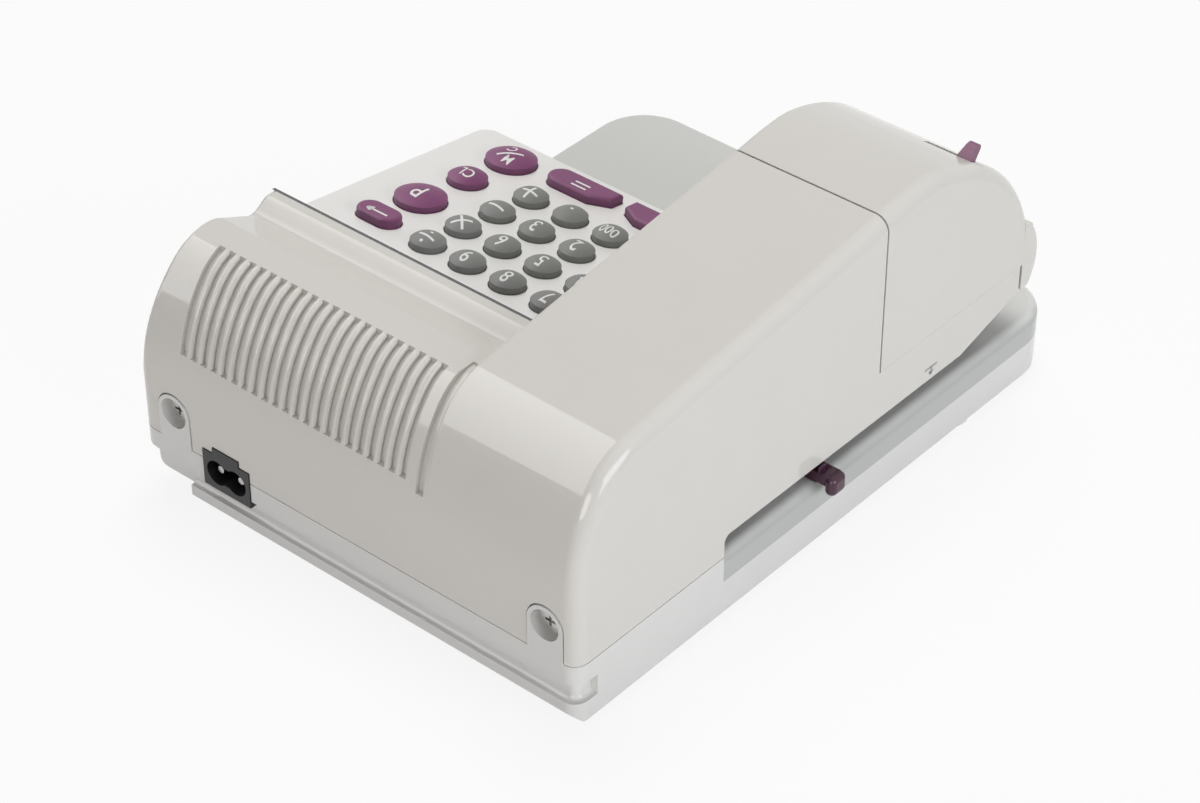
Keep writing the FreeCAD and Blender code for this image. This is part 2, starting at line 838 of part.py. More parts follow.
# The print cover in side view
cover_rear = seam_back + seam_gap
cover_bottom = strip_top + cover_rest_gap


cover_turns = list(zip(cover_angles, cover_angles[1:], cover_radii))
cover_run = sum(turn((0.0, 0.0), *step)[1][0] for step in cover_turns)
cover_scale = (strip_front + cover_end_reach - cover_rear) / cover_run
brow_radius = cover_radii[-2] * cover_scale


def cover_roof(inset):
    # The roof's arcs, drawn to the scale at which they end over the nose.
    lean = math.radians(cover_angles[0])
    here = (cover_rear + inset * math.sin(lean), arm_top(cover_rear) - inset * math.cos(lean))
    steps = [here]
    for angle_in, angle_out, radius in cover_turns:
        steps.append(turn(here, angle_in, angle_out, radius * cover_scale - inset))
        here = steps[-1][1]
    return steps


def print_cover():
    outer = cover_roof(0.0)
    roof = cover_roof(cover_wall)
    root = outer[-1][1]
    nose_back = strip_front + nose_depth
    nose_reaches = (nose_step_reach, nose_tip_reach, nose_bottom_reach)
    nose_step, nose_tip, nose_bottom = [
        (strip_front + reach, up) for reach, up in zip(nose_reaches, nose_ups)]
    hollow_rear = cover_rear - over
    hollow_path = [(hollow_rear, roof[0][1])] + roof + [
        (roof[-1][1][0], cover_bottom - over), (hollow_rear, cover_bottom - over)]
    nose_path = [nose_step, (nose_tip, nose_bottom), (nose_back, nose_bottom[1]), (nose_back, nose_step[1])]
    neck = side_prism([root, nose_step, (nose_back, nose_step[1]), (nose_back, root[1])], (0.0, arm_width))
    cover = side_prism(outer + [(root[0], cover_bottom), (cover_rear, cover_bottom)], (0.0, arm_width))
    nose = side_prism(nose_path, (0.0, arm_width))

    def bowed(shape, across):
        def on_side(point):
            return abs(point.x - left_x - across) < touch

        return [e for e in edges_where(shape, on_side) if isinstance(e.Curve, Part.Circle)]

    cover = cover.makeFillet(arm_round, bowed(cover, 0.0))
    cover = cover.makeFillet(arm_inner_round, bowed(cover, arm_width))
    nose = nose.makeFillet(nose_round, bowed(nose, 0.0) + bowed(nose, arm_width))
    lever_slot = release_prism(slide_gap, (-cover_wall - release_foot_gap, release_height),
                               (0.0, release_travel))
    strip_notch = block((arm_width - cover_wall - over, arm_width + over),
                        (hollow_rear, inner_strip_front + slide_gap),
                        (cover_bottom - over, inner_strip_top + slide_gap))
    return joined(cover, neck, nose).cut(
        [side_prism(hollow_path, (cover_wall, arm_width - cover_wall)), strip_notch, lever_slot])


# The release lever stands on the cover's brow and slides across it in a slot
brow_start = cover_roof(0.0)[-3][1]
release_back = brow_start[0] + release_reach
brow_turn = math.sin(math.radians(cover_angles[-3])) - release_reach / brow_radius
brow_fall = math.cos(math.radians(cover_angles[-3])) - math.sqrt(1.0 - brow_turn ** 2)
release_up = brow_start[1] - brow_radius * brow_fall
release_lean = release_tilt - math.degrees(math.asin(brow_turn))


def release_point(along, out):
    lean = math.radians(release_lean)
    back = release_back + along * math.cos(lean) + out * math.sin(lean)
    return back, release_up - along * math.sin(lean) + out * math.cos(lean)


def release_prism(grow, out, reach):
    half = release_thickness / 2 + grow
    path = [release_point(-half, out[0]), release_point(half, out[0]), release_point(half, out[1]),
            release_point(-half, out[1])]
    across = grown(about(release_across, release_width / 2), grow)
    return side_prism(path, (across[0] + reach[0], across[1] + reach[1]))


def release_lever():
    foot_top = -cover_wall - release_foot_gap
    foot_half = release_thickness / 2 + release_foot_margin
    half = release_thickness / 2
    left, right = about(release_across, release_width / 2)
    section = [(left, foot_top), (right, foot_top), (right, 0.0), (right - release_taper, release_height),
               (left, release_height)]
    edge = outline(section, lambda across, out: at(across, *release_point(-half, out)))
    tab = Part.Face(edge).extrude(at(0.0, *release_point(half, 0.0)) - at(0.0, *release_point(-half, 0.0)))
    tip = release_point(0.0, release_height)
    crest = [e for e in tab.Edges if all(
        math.dist((rear_y - v.Y, v.Z - table_z), tip) < release_thickness for v in e.Vertexes)]
    tab = tab.makeFillet(release_tip_round, [e for e in crest if e.BoundBox.YLength < touch])
    path = [release_point(-foot_half, foot_top), release_point(foot_half, foot_top),
            release_point(foot_half, foot_top - release_foot_height),
            release_point(-foot_half, foot_top - release_foot_height)]
    return joined(tab, side_prism(path, about(release_across, release_foot_width / 2)))


def paper_guide():
    back = about(guide_back, guide_bar_width / 2)
    foot_top = -table_thickness - slide_gap
    head = block((-guide_reach, guide_head_length - guide_reach), about(guide_back, guide_head_width / 2),
                 guide_head_up)
    head = head.makeFillet(guide_head_round, head.Edges)
    stem = block((guide_head_length - guide_reach - guide_head_round, guide_bar[0] + over),
                 about(guide_back, guide_stem_width / 2), guide_stem_up)
    runner = block(about(guide_runner_across, guide_runner_width / 2), back,
                   (foot_top - guide_foot_height, guide_bar_up[0] + over))
    foot = block(about(guide_runner_across, guide_foot_width / 2), back,
                 (foot_top - guide_foot_height, foot_top))
    return joined(block(guide_bar, back, guide_bar_up), stem, head, runner, foot)


# Keypad pieces are drawn flat, with the panel's top face at zero, then tipped to its slope
keypad_place = FreeCAD.Placement(
    at(0.0, keypad_rear, keypad_up(keypad_rear)), FreeCAD.Rotation(side_out, keypad_slope))


def on_keypad(shape):
    return shape.transformed(keypad_place.toMatrix(), True)


def flat_rod(across, row, out, radius):
    return Part.makeCylinder(radius, out[1] - out[0], Vector(across, -row, out[0]))


def flat_plate(across, rows, out):
    return Part.makeBox(across[1] - across[0], rows[1] - rows[0], out[1] - out[0],
                        Vector(across[0], -rows[1], out[0]))


flange_top = -panel_thickness - key_flange_gap
flange_bottom = flange_top - key_flange_height
mat_top = flange_bottom - key_travel - mat_gap
board_top = mat_top - mat_thickness
board_bottom = board_top - board_thickness


def dome_key(across, row, radius):
    bowl = (radius ** 2 + key_dome ** 2) / (2 * key_dome)
    crown_up = key_side_height + key_dome
    half_up = crown_up - bowl + math.sqrt(bowl ** 2 - (radius / 2) ** 2)
    path = [(0.0, flange_bottom), (radius + key_flange, flange_bottom), (radius + key_flange, flange_top),
            (radius, flange_top), (radius, key_side_height), ((radius / 2, half_up), (0.0, crown_up))]
    middle = Vector(across, -row, 0.0)
    edge = outline(path, lambda out, up: middle + Vector(out, 0.0, up))
    return Part.Face(edge).revolve(middle, upward, 360.0)


def dome_hole(across, row, radius):
    return flat_rod(across, row, (-panel_thickness - over, over), radius + key_gap)


def bar_outline(across, row, length, width, bevel, side):
    # A bar along the row, round at its outer end; side is +1 or -1, towards that end.
    radius = width / 2
    outer = across + side * (length / 2 - radius)
    inner = across - side * length / 2
    if bevel:
        bevelled = (inner + side * bevel[0], row - radius)
        end = [(inner, row + radius), (inner, row - radius + bevel[1]), bevelled]
    else:
        near = inner + side * radius
        end = [(near, row + radius), ((inner, row), (near, row - radius))]
    path = end + [(outer, row - radius), ((outer + side * radius, row), (outer, row + radius))]
    return outline(path, lambda place, along: Vector(place, -along, 0.0))


def raised(edge, grow, out):
    edge = edge.makeOffset2D(grow) if grow else edge.copy()
    edge.translate(upward * out[0])
    return Part.Face(edge).extrude(upward * (out[1] - out[0]))


def bar_key(edge):
    crown_up = key_side_height + key_dome / 2
    top = raised(edge, 0.0, (flange_bottom, crown_up))
    rim = edges_where(top, lambda point: abs(point.z - crown_up) < touch)
    return joined(top.makeFillet(key_edge_round, rim), raised(edge, key_flange, (flange_bottom, flange_top)))


def bar_hole(edge):
    return raised(edge, key_gap, (-panel_thickness - over, over))


dome_keys = {}
for row_index, names in enumerate(grid_names):
    for column_index, name in enumerate(names):
        place = (first_column + column_index * column_pitch, first_row + row_index * row_pitch)
        dome_keys["key_" + name] = (*place, key_radius)
for name, row, radius in zip(("print", "clear", "memory"), function_rows[1:],
                             (large_key_radius, middle_key_radius, large_key_radius)):
    dome_keys["key_" + name] = (function_column, row, radius)
bar_keys = {
    "key_backspace": bar_outline(function_column, function_rows[0], back_key_length, back_key_width, (), 1)}
for name, side in (("key_total", -1), ("key_equals", 1)):
    middle = long_key_middle + side * (long_key_length + long_key_gap) / 2
    bar_keys[name] = bar_outline(middle, long_key_row, long_key_length, long_key_width, long_key_bevel, side)


def keypad_panel():
    path = [(keypad_rear, keypad_up(keypad_rear)), (keypad_front, keypad_up(keypad_front)),
            under_panel(keypad_front), under_panel(keypad_rear)]
    start = arm_width + case_gap
    panel = side_prism(path, (start, body_width)).common(leaning_side(0.0, start, whole_depth))
    corner = [e for e in edges_where(panel, on_lean) if e.BoundBox.YMax < rear_y - keypad_front + wall]
    panel = panel.makeFillet(panel_corner, corner[:1])
    holes = [dome_hole(*key) for key in dome_keys.values()] + [bar_hole(edge) for edge in bar_keys.values()]
    bosses = []
    for across, row in panel_bosses:
        boss_reach = (mat_top, -panel_thickness + touch)
        bosses.append(on_keypad(flat_rod(across, row, boss_reach, panel_boss_radius)))
        holes.append(flat_rod(across, row, (mat_top - over, -panel_thickness), board_screw_radius))
    return joined(panel, *bosses).cut([on_keypad(hole) for hole in holes])


def keypad_sheet(out):
    across = (arm_width + panel_ledge + board_margin, opening_edge - board_margin)
    holes = [flat_rod(place, row, grown(out, over), board_screw_radius + screw_hole_gap)
             for place, row in panel_bosses]
    return on_keypad(flat_plate(across, board_rows, out).cut(holes))


def keypad_screws():
    radius, height = board_screw_head
    screws = []
    for across, row in panel_bosses:
        head = flat_rod(across, row, (board_bottom - height, board_bottom), radius)
        shank = flat_rod(across, row, (board_bottom - touch, mat_top + board_screw_reach), board_screw_radius)
        screws.append(on_keypad(joined(head, shank)))
    return screws


def display_lens():
    top_along = (lens_thickness * display_run + lens_top_drop) / display_drop
    path = [ridge_edge, on_display(top_along, lens_thickness), lens_toe, lens_foot]
    start = arm_width + case_gap
    return side_prism(path, (start, body_width)).common(leaning_side(case_gap, start, whole_depth))


def lcd_module():
    across = (arm_width + lcd_margin, display_edge - lcd_margin)
    return display_prism(lcd_ends, (-wall, -wall - lcd_depth), across)


def mains_inlet():
    floor_back = socket_depth - inlet_proud
    reach = (-inlet_proud - over, floor_back)
    lobes = [rod(across, socket_up, reach, socket_lobe_radius)
             for across in about(inlet_across, socket_lobe_offset)]
    waist = block(about(inlet_across, socket_lobe_offset), reach, about(socket_up, socket_waist / 2))
    return inlet_body(0.0, (-inlet_proud, inlet_depth)).cut(joined(waist, *lobes))


def inlet_pins():
    floor_back = socket_depth - inlet_proud
    return [rod(across, socket_up, (floor_back - pin_length, floor_back), pin_radius)
            for across in about(inlet_across, pin_offset)]


def case_screws():
    screws = []
    head_back = (screw_recess_depth - screw_head_height, screw_recess_depth)
    for across in ear_positions:
        head = rod(across, ear_screw_up, head_back, screw_head_radius)
        shank = rod(across, ear_screw_up, (head_back[1], head_back[1] + screw_length), screw_shank_radius)
        cut_back = (head_back[0] - over, head_back[0] + driver_depth)
        level = block(about(across, driver_reach), cut_back, about(ear_screw_up, driver_slot / 2))
        upright = block(about(across, driver_slot / 2), cut_back, about(ear_screw_up, driver_reach))
        screws.append(joined(head, shank).cut(level.fuse(upright)))
    return screws


def gear(across, up, back, module, teeth, phase):
    # Straight-flanked teeth; phase turns the first tooth away from straight up.
    pitch_radius = module * teeth / 2
    tip = pitch_radius + module
    root = pitch_radius - root_depth * module
    half = tooth_share * math.pi * module / 2
    tip_half = (half - module * slope(tooth_angle)) / tip
    root_half = (half + root_depth * module * slope(tooth_angle)) / root
    path = []
    for index in range(teeth):
        middle = math.radians(phase) + index * 2 * math.pi / teeth
        for radius, angle in ((root, -root_half), (tip, -tip_half), (tip, tip_half), (root, root_half)):
            path.append((across + radius * math.sin(middle + angle), up + radius * math.cos(middle + angle)))
    return front_prism(path, back)


def print_frame():
    across = about(wheel_across, frame_half_width)
    tall = (roof_up, frame_top)
    rear_plate = (rear_plate_back, rear_plate_back + frame_sheet)
    middle_plate = (middle_plate_back, middle_plate_back + frame_sheet)
    front_plate = (front_plate_back, front_plate_back + frame_sheet)
    side_tie = (across[1] - frame_sheet, across[1])
    tab_up = (pinch_up - frame_tab_drop, frame_tie_up[1])
    sheets = [
        block(across, (rear_plate_back, flare_back), (roof_up, roof_up + frame_sheet)).cut(throat_windows()),
        block(across, rear_plate, tall),
        block(across, middle_plate, tall),
        block(side_tie, (rear_plate[0], middle_plate[1]), (wheel_up + wheel_outer + window_gap, frame_top)),
        block(across, front_plate, frame_tie_up),
        block(about(wheel_across, frame_tab_half_width), front_plate, tab_up),
    ]
    for tie in (side_tie, (across[0], across[0] + frame_sheet)):
        sheets.append(block(tie, (middle_plate[0], front_plate[1]), frame_tie_up))
    reach = (rear_plate_back - over, middle_plate[1] + over)
    bores = [
        rod(wheel_across, wheel_up, reach, shaft_radius + shaft_gap),
        rod(ink_across, ink_up, reach, ink_shaft_radius + shaft_gap),
        rod(wheel_across, print_motor_up, grown(rear_plate, over), motor_shaft_radius + screw_hole_gap),
        rod(wheel_across, pinch_up, (middle_plate[0], front_plate[1]), pinch_shaft_radius + shaft_gap),
    ]
    return joined(*sheets).cut(bores)


wheel_shaft_back = (rear_plate_back + slide_gap, middle_plate_back + frame_sheet - slide_gap)


def print_wheel():
    outside = rod(wheel_across, wheel_up, wheel_back, wheel_radius)
    middle = sum(wheel_back) / 2
    hollow = rod(wheel_across, wheel_up, grown(wheel_back, over), wheel_radius - wheel_rim)
    web = rod(wheel_across, wheel_up, about(middle, wheel_web / 2), wheel_radius - wheel_rim)
    hub = rod(wheel_across, wheel_up, wheel_back, wheel_hub_radius)
    blocks = []
    for index in range(type_count):
        piece = block(about(wheel_across, type_width / 2), grown(wheel_back, -type_margin),
                      (wheel_up + wheel_radius - type_height, wheel_up + wheel_outer))
        piece.rotate(at(wheel_across, 0.0, wheel_up), forward, index * 360.0 / type_count)
        blocks.append(piece)
    bore = rod(wheel_across, wheel_up, grown(wheel_back, over), shaft_radius)
    return joined(outside.cut(hollow), web, hub, *blocks).cut(bore)


def bored_gear(across, up, back, module, teeth, bore_radius):
    return gear(across, up, back, module, teeth, 0.0).cut(rod(across, up, grown(back, over), bore_radius))


def shafted_pinion(across, up, back, module, teeth, motor_face):
    # A pinion on the end of a motor shaft, with a gap of its own facing the gear it drives.
    stub = rod(across, up, (motor_face - motor_shaft_bore + slide_gap, back[0] + over), motor_shaft_radius)
    return joined(gear(across, up, back, module, teeth, 180.0 / teeth), stub)


def roller(across, up, back, radius, shaft_back, shaft):
    return joined(rod(across, up, back, radius), rod(across, up, shaft_back, shaft))


def print_motor():
    reach = (rear_plate_back - print_motor_length, rear_plate_back)
    can = rod(wheel_across, print_motor_up, reach, print_motor_radius)
    flat = print_motor_radius - motor_flat
    square = block(about(wheel_across, print_motor_radius), reach, about(print_motor_up, flat))
    bore_back = (rear_plate_back - motor_shaft_bore, rear_plate_back + over)
    bore = rod(wheel_across, print_motor_up, bore_back, motor_shaft_radius + shaft_gap)
    return can.common(square).cut(bore)


def feed_motor():
    reach = (feed_motor_back, feed_motor_back + feed_motor_length)
    up = about(feed_up, feed_motor_height / 2)
    can = rod(feed_pinion_across, feed_up, reach, feed_motor_width / 2)
    square = block(about(feed_pinion_across, feed_motor_width / 2), reach, up)
    bore_back = (reach[1] - motor_shaft_bore, reach[1] + over)
    bore = rod(feed_pinion_across, feed_up, bore_back, motor_shaft_radius + shaft_gap)
    return can.common(square).cut(bore)


def bearing_blocks():
    blocks = []
    for back in (rear_bearing, front_bearing):
        body = block(about(wheel_across, bearing_half_width), back, (floor_up, feed_up + bearing_cap))
        blocks.append(body.cut(rod(wheel_across, feed_up, grown(back, over), feed_shaft_radius + shaft_gap)))
    return blocks


def main_board():
    top = main_board_up + board_thickness
    middle = sum(main_board_across) / 2
    pieces = [block(main_board_across, main_board_back, (main_board_up, top))]
    chip_across, chip_back, chip_up = chip_size
    for side in (-1, 1):
        across = about(middle + side * chip_across, chip_across / 2)
        pieces.append(block(across, about(sum(main_board_back) / 2, chip_back / 2), (top, top + chip_up)))
        rise = (top, top + capacitor_height)
        rear = main_board_back[0] + chip_across
        pieces.append(foot_rod(middle + side * chip_across, rear, rise, capacitor_radius))
    plug_across, plug_back, plug_up = socket_size
    plug_reach = (main_board_back[1] - post_inset - plug_back, main_board_back[1] - post_inset)
    pieces.append(block(about(middle, plug_across / 2), plug_reach, (top, top + plug_up)))
    return joined(*pieces)


def transformer():
    core_up = (floor_up, floor_up + core_height)
    coil = block(grown(core_across, -coil_in), grown(core_back, coil_bulge), grown(core_up, -coil_up))
    return joined(block(core_across, core_back, core_up), coil)


parts = {
    "base_tray": base_tray(), "rubber_feet": rubber_feet(), "table_plate": table_plate(),
    "platen_pad": platen_pad(), "upper_housing": upper_housing(), "throat_plate": throat_plate(),
    "keypad_panel": keypad_panel(), "key_mat": keypad_sheet((board_top, mat_top)),
    "keypad_board": keypad_sheet((board_bottom, board_top)), "keypad_screws": keypad_screws(),
    "display_lens": display_lens(), "lcd_module": lcd_module(), "main_board": main_board(),
    "transformer": transformer(), "mains_inlet": mains_inlet(), "inlet_pins": inlet_pins(),
    "case_screws": case_screws(), "print_cover": print_cover(), "release_lever": release_lever(),
    "paper_guide": paper_guide(), "print_frame": print_frame(), "print_wheel": print_wheel(),
    "wheel_shaft": rod(wheel_across, wheel_up, wheel_shaft_back, shaft_radius),
    "wheel_gear": bored_gear(wheel_across, wheel_up, gear_backs, gear_module, wheel_teeth, shaft_radius),
    "print_motor": print_motor(),
    "print_pinion": shafted_pinion(wheel_across, print_motor_up, gear_backs, gear_module, print_pinion_teeth,
                                   rear_plate_back),
    "ink_roller": roller(ink_across, ink_up, wheel_back, ink_radius, wheel_shaft_back, ink_shaft_radius),
    "pinch_roller": roller(wheel_across, pinch_up, pinch_backs, pinch_radius,
                           (middle_plate_back + slide_gap, front_plate_back + frame_sheet - slide_gap),
                           pinch_shaft_radius),
    "feed_roller": rod(wheel_across, feed_up, pinch_backs, feed_radius).cut(
        rod(wheel_across, feed_up, grown(pinch_backs, over), feed_shaft_radius)),
    "feed_shaft": rod(wheel_across, feed_up, feed_shaft_backs, feed_shaft_radius),
    "feed_gear": bored_gear(wheel_across, feed_up, feed_gear_backs, feed_module, feed_teeth,
                            feed_shaft_radius),
    "feed_motor": feed_motor(),
    "feed_pinion": shafted_pinion(feed_pinion_across, feed_up, feed_gear_backs, feed_module,
                                  feed_pinion_teeth, feed_motor_back + feed_motor_length),
    "bearing_blocks": bearing_blocks(),
}
for name, key in dome_keys.items():
    parts[name] = on_keypad(dome_key(*key))
for name, edge in bar_keys.items():
    parts[name] = on_keypad(bar_key(edge))

os.makedirs("parts", exist_ok=True)
for name, shape in parts.items():
    solids = shape if isinstance(shape, list) else shape.Solids
    whole = solids[0] if len(solids) == 1 else Part.makeCompound(solids)
    whole.exportStep(os.path.join("parts", name + ".step"))
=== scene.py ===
import json
import math
import bmesh
import bpy
from mathutils import Matrix, Quaternion, Vector
from mathutils.bvhtree import BVHTree


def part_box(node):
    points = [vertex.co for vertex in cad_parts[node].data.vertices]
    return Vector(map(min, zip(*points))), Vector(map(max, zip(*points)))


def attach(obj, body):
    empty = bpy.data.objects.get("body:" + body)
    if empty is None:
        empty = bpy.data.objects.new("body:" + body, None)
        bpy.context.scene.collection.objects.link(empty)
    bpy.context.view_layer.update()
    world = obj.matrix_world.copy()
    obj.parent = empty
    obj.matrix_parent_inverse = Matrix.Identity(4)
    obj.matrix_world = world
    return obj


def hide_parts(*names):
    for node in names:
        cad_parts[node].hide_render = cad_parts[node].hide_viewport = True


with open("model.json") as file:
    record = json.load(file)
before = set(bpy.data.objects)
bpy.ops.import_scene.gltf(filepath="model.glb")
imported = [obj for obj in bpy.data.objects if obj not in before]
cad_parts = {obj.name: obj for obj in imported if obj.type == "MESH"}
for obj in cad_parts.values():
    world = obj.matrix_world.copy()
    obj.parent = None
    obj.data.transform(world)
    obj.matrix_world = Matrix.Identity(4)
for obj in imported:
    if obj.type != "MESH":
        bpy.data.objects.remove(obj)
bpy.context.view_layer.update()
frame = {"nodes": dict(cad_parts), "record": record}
scene = bpy.context.scene
scene.view_settings.view_transform = "Standard"
mm = 0.001
print("frame loaded,", len(frame["nodes"]), "CAD nodes")

# The same three distances as the part: across from the arm's open side, back from the rear face, up from the table
housingLow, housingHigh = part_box("upper_housing")
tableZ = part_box("table_plate")[1].z
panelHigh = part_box("keypad_panel")[1]


def place(across, back, up):
    return Vector((housingLow.x + across * mm, housingHigh.y - back * mm, tableZ + up * mm))


keypad = {"slope": 9.45}
keypadPlace = (Matrix.Translation((housingLow.x, panelHigh.y, panelHigh.z))
               @ Matrix.Rotation(math.radians(keypad["slope"]), 4, "X"))


def linear(red, green, blue):
    # screen colour from 0 to 255, as the shader wants it
    shares = [channel / 255 for channel in (red, green, blue)]
    return [share / 12.92 if share <= 0.04045 else ((share + 0.055) / 1.055) ** 2.4 for share in shares] + [1.0]


class Wire:
    # an output socket of a material; arithmetic on it adds Math nodes
    def __init__(self, tree, socket=None):
        self.tree = tree
        self.socket = socket

    def node(self, kind, settings=None, sockets=None, output=0):
        made = self.tree.nodes.new(kind)
        for name, value in (settings or {}).items():
            setattr(made, name, value)
        for name, value in (sockets or {}).items():
            if isinstance(value, Wire):
                self.tree.links.new(value.socket, made.inputs[name])
            else:
                made.inputs[name].default_value = value
        return Wire(self.tree, made.outputs[output])

    def maths(self, operation, first, second):
        return self.node("ShaderNodeMath", {"operation": operation}, {0: first, 1: second})

    def blend(self, share, first, second):
        # a Mix node's colours are its inputs 6 and 7 and its output 2
        return self.node("ShaderNodeMix", {"data_type": "RGBA"}, {0: share, 6: first, 7: second}, 2)

    def __add__(self, other):
        return self.maths("ADD", self, other)

    def __radd__(self, other):
        return self.maths("ADD", other, self)

    def __sub__(self, other):
        return self.maths("SUBTRACT", self, other)

    def __rsub__(self, other):
        return self.maths("SUBTRACT", other, self)

    def __mul__(self, other):
        return self.maths("MULTIPLY", self, other)

    def __rmul__(self, other):
        return self.maths("MULTIPLY", other, self)

    def into(self, node, name):
        self.tree.links.new(self.socket, node.inputs[name])


# Finishes: colour on screen, roughness and how far it wanders, depth of the moulded grain in mm; some are metal,
# have a clear coat, or turn to another colour lower down
finishes = {
    "caseTop": {"colour": (216, 213, 208), "rough": 0.09, "wander": 0.03, "grain": 0.0},
    "caseSide": {"colour": (221, 220, 218), "rough": 0.09, "wander": 0.03, "grain": 0.0},
    "tableTop": {"colour": (215, 216, 213), "rough": 0.14, "wander": 0.04, "grain": 0.0,
                 "lower": {"colour": (182, 184, 182), "below": 0.6, "over": 1.6}},
    # painted shade: the throat plate is near black to stand in for the shade in the gap under the arm's lower edge
    "throatPaintedShade": {"colour": (44, 44, 46), "rough": 0.5, "wander": 0.06, "grain": 0.004},
    "panelWhite": {"colour": (240, 239, 237), "rough": 0.32, "wander": 0.06, "grain": 0.006},
    "keyGrey": {"colour": (131, 132, 129), "rough": 0.62, "wander": 0.06, "grain": 0.008},
    "keyPlum": {"colour": (120, 64, 104), "rough": 0.55, "wander": 0.06, "grain": 0.006},
    "guidePlum": {"colour": (66, 30, 52), "rough": 0.16, "wander": 0.06, "grain": 0.004},
    "leverPlum": {"colour": (124, 74, 104), "rough": 0.28, "wander": 0.06, "grain": 0.004},
    "legendWhite": {"colour": (236, 236, 234), "rough": 0.5, "wander": 0.05, "grain": 0.0},
    "markGrey": {"colour": (158, 159, 160), "rough": 0.5, "wander": 0.05, "grain": 0.0},
    "lensSmoke": {"colour": (38, 38, 40), "rough": 0.06, "wander": 0.02, "grain": 0.0, "coat": 0.4},
    "displayGrey": {"colour": (112, 120, 104), "rough": 0.25, "wander": 0.04, "grain": 0.0},
    "rubberBlack": {"colour": (42, 42, 42), "rough": 0.7, "wander": 0.1, "grain": 0.02},
    "footPale": {"colour": (232, 221, 220), "rough": 0.6, "wander": 0.08, "grain": 0.01},
    "rubberGrey": {"colour": (110, 110, 110), "rough": 0.65, "wander": 0.1, "grain": 0.02},
    "boardGreen": {"colour": (34, 92, 52), "rough": 0.45, "wander": 0.1, "grain": 0.0},
    "coreIron": {"colour": (72, 72, 76), "rough": 0.5, "wander": 0.15, "grain": 0.02},
    "inletBlack": {"colour": (14, 13, 14), "rough": 0.42, "wander": 0.06, "grain": 0.006},
    "brass": {"colour": (206, 172, 104), "rough": 0.3, "wander": 0.1, "grain": 0.0, "metal": 1.0},
    "plate": {"colour": (190, 188, 186), "rough": 0.25, "wander": 0.12, "grain": 0.0, "metal": 1.0},
    "wheelDark": {"colour": (62, 62, 66), "rough": 0.4, "wander": 0.08, "grain": 0.006},
    "nylon": {"colour": (226, 223, 214), "rough": 0.4, "wander": 0.06, "grain": 0.004},
    "inkFoam": {"colour": (40, 22, 42), "rough": 0.85, "wander": 0.1, "grain": 0.05},
}

# What the finishes share: clouds in the tone, the grain's fineness, the coat's gloss
surface = {"cloudScale": 38.0, "cloudDetail": 3.0, "cloudShade": 0.965, "grainScale": 1900.0, "grainDetail": 2.0,
           "grainStrength": 0.6, "coatRough": 0.08}


def finish(name, look):
    material = bpy.data.materials.new(name)
    material.use_nodes = True
    tree = material.node_tree
    shader = tree.nodes["Principled BSDF"]
    start = Wire(tree)
    spot = start.node("ShaderNodeTexCoord", output="Object")
    cloud = start.node("ShaderNodeTexNoise", sockets={
        "Vector": spot, "Scale": surface["cloudScale"], "Detail": surface["cloudDetail"]})
    tone = linear(*look["colour"])
    shade = [channel * surface["cloudShade"] for channel in tone[:3]] + [1.0]
    colour = start.blend(cloud, tone, shade)
    if "lower" in look:
        # a greyer tone below the table's top
        low = look["lower"]
        height = start.node("ShaderNodeSeparateXYZ", sockets={"Vector": spot}, output="Z")
        depth = (tableZ - low["below"] * mm - height) * (1 / (low["over"] * mm))
        colour = start.blend(depth, colour, linear(*low["colour"]))
    colour.into(shader, "Base Color")
    (look["rough"] + (cloud - 0.5) * look["wander"]).into(shader, "Roughness")
    shader.inputs["Metallic"].default_value = look.get("metal", 0.0)
    shader.inputs["Coat Weight"].default_value = look.get("coat", 0.0)
    shader.inputs["Coat Roughness"].default_value = surface["coatRough"]
    if look["grain"]:
        speck = start.node("ShaderNodeTexNoise", sockets={
            "Vector": spot, "Scale": surface["grainScale"], "Detail": surface["grainDetail"]})
        bump = start.node("ShaderNodeBump", sockets={
            "Height": speck, "Distance": look["grain"] * mm, "Strength": surface["grainStrength"]})
        bump.into(shader, "Normal")
    return material


materials = {name: finish(name, look) for name, look in finishes.items()}
print("finishes made:", len(materials))

# Which finish each CAD node takes; keys come after
dress = {
    "base_tray": "caseSide", "rubber_feet": "footPale", "table_plate": "tableTop", "platen_pad": "rubberBlack",
    # the throat plate's near black finish is painted shade for the gap under the arm
    "upper_housing": "caseTop", "throat_plate": "throatPaintedShade", "keypad_panel": "panelWhite", "key_mat": "rubberGrey",
    "keypad_board": "boardGreen", "keypad_screws": "plate", "display_lens": "lensSmoke",
    "lcd_module": "displayGrey", "main_board": "boardGreen", "transformer": "coreIron",
    "mains_inlet": "inletBlack", "inlet_pins": "plate", "case_screws": "plate", "print_cover": "caseTop",
    "release_lever": "leverPlum", "paper_guide": "guidePlum", "print_frame": "plate", "print_wheel": "wheelDark",
    "wheel_shaft": "plate", "wheel_gear": "nylon", "print_motor": "plate", "print_pinion": "brass",
    "ink_roller": "inkFoam", "pinch_roller": "rubberGrey", "feed_roller": "rubberBlack", "feed_shaft": "plate",
    "feed_gear": "nylon", "feed_motor": "plate", "feed_pinion": "brass", "bearing_blocks": "nylon",
}
plumKeys = ("key_backspace", "key_print", "key_clear", "key_memory", "key_total", "key_equals")
keyNodes = [name for name in frame["nodes"] if name.startswith("key_") and name != "key_mat"]
for name in keyNodes:
    dress[name] = "keyPlum" if name in plumKeys else "keyGrey"
nodeBodies = {node: body for body, nodes in frame["record"]["behaviour"]["bodies"].items() for node in nodes}

